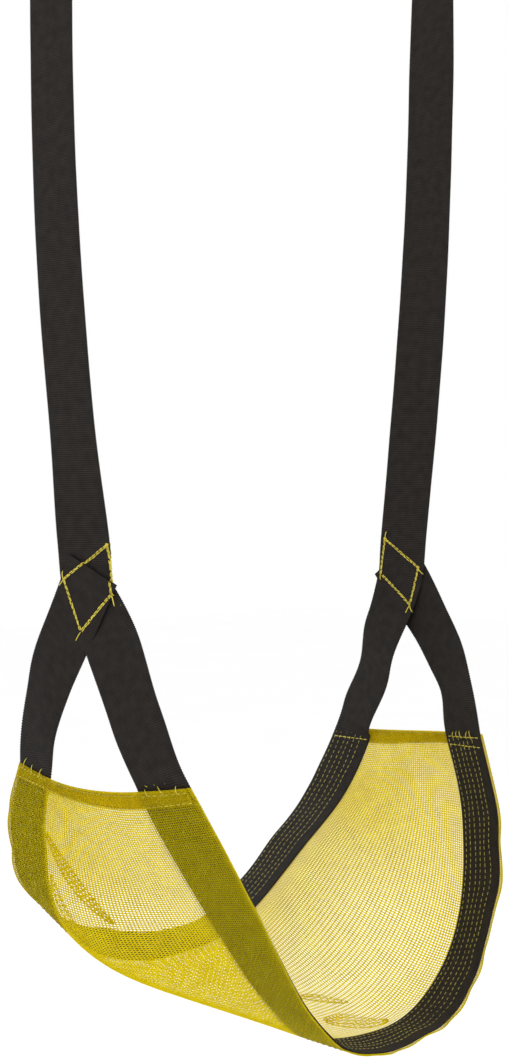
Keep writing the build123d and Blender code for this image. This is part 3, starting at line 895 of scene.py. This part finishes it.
# Diamonds: corners as (towards the rear, up) from the knot's middle, and the loose thread ends as
# (corner, towards the rear, up, length).
DIAMONDS = {
    -1: [(-23.0, 36.5), (19.0, 9.5), (4.5, -32.0), (-27.0, -2.0)],
    1: [(19.5, 32.0), (-19.5, 7.0), (-13.5, -27.0), (22.5, 0.0)],
}
LOOSE_ENDS = {
    -1: [(1, 0.1, 1.0, 7.0), (1, 0.6, -0.7, 8.0), (2, 0.7, -0.9, 11.0), (3, -0.6, -1.0, 10.0)],
    1: [
        (0, -0.2, 1.0, 7.0),
        (1, -0.6, -0.6, 9.0),
        (2, 0.4, -1.0, 10.0),
        (2, -0.5, -1.0, 8.0),
        (3, 0, -1.0, 6.0),
    ],
}


def diamond_stitching(end, side):
    """Doubled stitches round the crossing of the straps on both faces, with a small knot on top."""
    knot, _, up, inward = side_frame(side)
    corners = [knot + np.array([0, y, 0]) + up * z for y, z in DIAMONDS[side]]
    parts = []
    for face in (inward, -inward):
        for k in range(4):
            a, b = corners[k], corners[(k + 1) % 4]
            d = unit(b - a)
            across = unit(np.cross(face, d))
            for shift, pitch, length in ((-0.55, 4.4, 4.6), (0.55, 4.9, 4.9)):
                line = np.linspace(a - d * 1.5, b + d * 1.5, 40) + across * shift
                line, n = on_webbing(hung(line, side), face)
                parts += stitch_run(line + n * 0.25, n, pitch, length, 1.0, 0.8, 0.35)
        for k, y, z, length in LOOSE_ENDS[side]:
            start, n = on_webbing(hung(corners[k], side)[None], face)
            way = unit(up * z + [0, y, 0])
            parts.append(tail(start[0] + n[0] * 0.4, way, n[0], length, rng.uniform(-1.5, 1.5), 0.9))
        top, n = on_webbing(hung(corners[0], side)[None], face)
        for turn in range(3):
            around = unit(np.array([0, math.cos(turn * 2.1), 0]) + up * math.sin(turn * 2.1))
            parts.append(tail(top[0] + n[0] * 0.6 - around * 1.6, around, n[0], 3.2, 1.5, 1.1))
    sewn(f"{end}_diamond_threads", parts, HEAVY, f"{end}_diamond_stitching")


def loop_stitching(end, side):
    """A crossed box that closes the top loop, on both faces."""
    _, bar, up, inward = side_frame(side)
    high, low = bar - up * 26.0, bar - up * (TAIL - 5)
    half = np.array([0, WEB_WIDTH / 2 - 5, 0])
    box = [high - half, high + half, low + half, low - half]
    parts = []
    for face in (inward, -inward):
        for a, b in ((0, 1), (1, 2), (2, 3), (3, 0), (0, 2), (1, 3)):
            line = np.linspace(box[a], box[b], 30) + face * (WEB_THICK + 0.12)
            n = np.repeat(face[None], 30, axis=0)
            parts += stitch_run(line, n, 5.0, 4.0, 1.0, 0.7, 0.15)
    sewn(f"{end}_loop_threads", parts, HEAVY, f"{end}_loop_stitching")


EDGES = (("front", SELVEDGE), ("rear", REAR_WEB))
for edge, first in EDGES:
    edge_stitching(edge, first)
for end, s_end, inside in (("left", 0.0, 1), ("right", 1.0, -1)):
    for edge, first in EDGES:
        corner_stitching(end, s_end, inside, edge, first)
    hem_stitching(end, s_end, inside)
for end, side in (("left", -1), ("right", 1)):
    diamond_stitching(end, side)
    loop_stitching(end, side)

# ---------------------------------------------------------------- metal

RING_STEEL = steel_material("ring_steel", (0.62, 0.62, 0.61), 0.34, 400.0)
HOOK_STEEL = steel_material("hook_steel", (0.66, 0.66, 0.67), 0.28, 400.0)
PIN_STEEL = steel_material("pin_steel", (0.52, 0.52, 0.53), 0.38, 700.0)
for end in ("left", "right"):
    for name, steel in (
        ("ring", RING_STEEL),
        ("carabiner", HOOK_STEEL),
        ("gate", HOOK_STEEL),
        ("gate_pin", PIN_STEEL),
        ("gate_spring", PIN_STEEL),
    ):
        mesh = frame["nodes"][f"{end}_{name}"].data
        mesh.materials.clear()
        mesh.materials.append(steel)

# ---------------------------------------------------------------- floor, light, camera

FLOOR_Z = -0.42  # metres, well under the hanging seat

paper, tree, shader = material("floor_paper", (0.99, 0.99, 0.99), 0.9)
varied(tree, shader, (0.985, 0.985, 0.985), (0.998, 0.998, 0.998), 2.0)
bpy.ops.mesh.primitive_plane_add(size=16, location=(0, 0, FLOOR_Z))
floor = bpy.context.object
floor.name = "floor"
floor.data.materials.append(paper)

world = bpy.context.scene.world or bpy.data.worlds.new("world")
bpy.context.scene.world = world
world.use_nodes = True
world.node_tree.nodes["Background"].inputs["Color"].default_value = (1, 1, 1, 1)
world.node_tree.nodes["Background"].inputs["Strength"].default_value = 1.0


def area_light(name, place, target, size, power):
    """A square lamp at a place, turned to a target."""
    light = bpy.data.lights.new(name, "AREA")
    light.size = size
    light.energy = power
    lamp = bpy.data.objects.new(name, light)
    lamp.location = place
    way = np.array(target) - np.array(place)
    lamp.rotation_euler = Vector(way.tolist()).to_track_quat("-Z", "Y").to_euler()
    bpy.context.scene.collection.objects.link(lamp)


area_light("key", (-1.6, -1.6, 2.0), (0, 0, 0.4), 1.2, 12)
area_light("fill", (1.6, -1.8, 1.2), (0, 0, 0.4), 1.6, 4)
area_light("back", (0.8, 2.2, 1.6), (0, 0, 0.3), 1.6, 14)

camera = bpy.data.cameras.new("camera")
camera.sensor_width = 36
camera.lens = 63.789
camera.shift_x = -0.0058
camera.shift_y = -0.0512
eye = bpy.data.objects.new("camera", camera)
eye.location = (-1.0987, -1.1741, 0.485)
eye.rotation_euler = (math.radians(90), 0, math.radians(-43.1))
bpy.context.scene.collection.objects.link(eye)
bpy.context.scene.camera = eye
bpy.context.scene.view_settings.view_transform = "Standard"
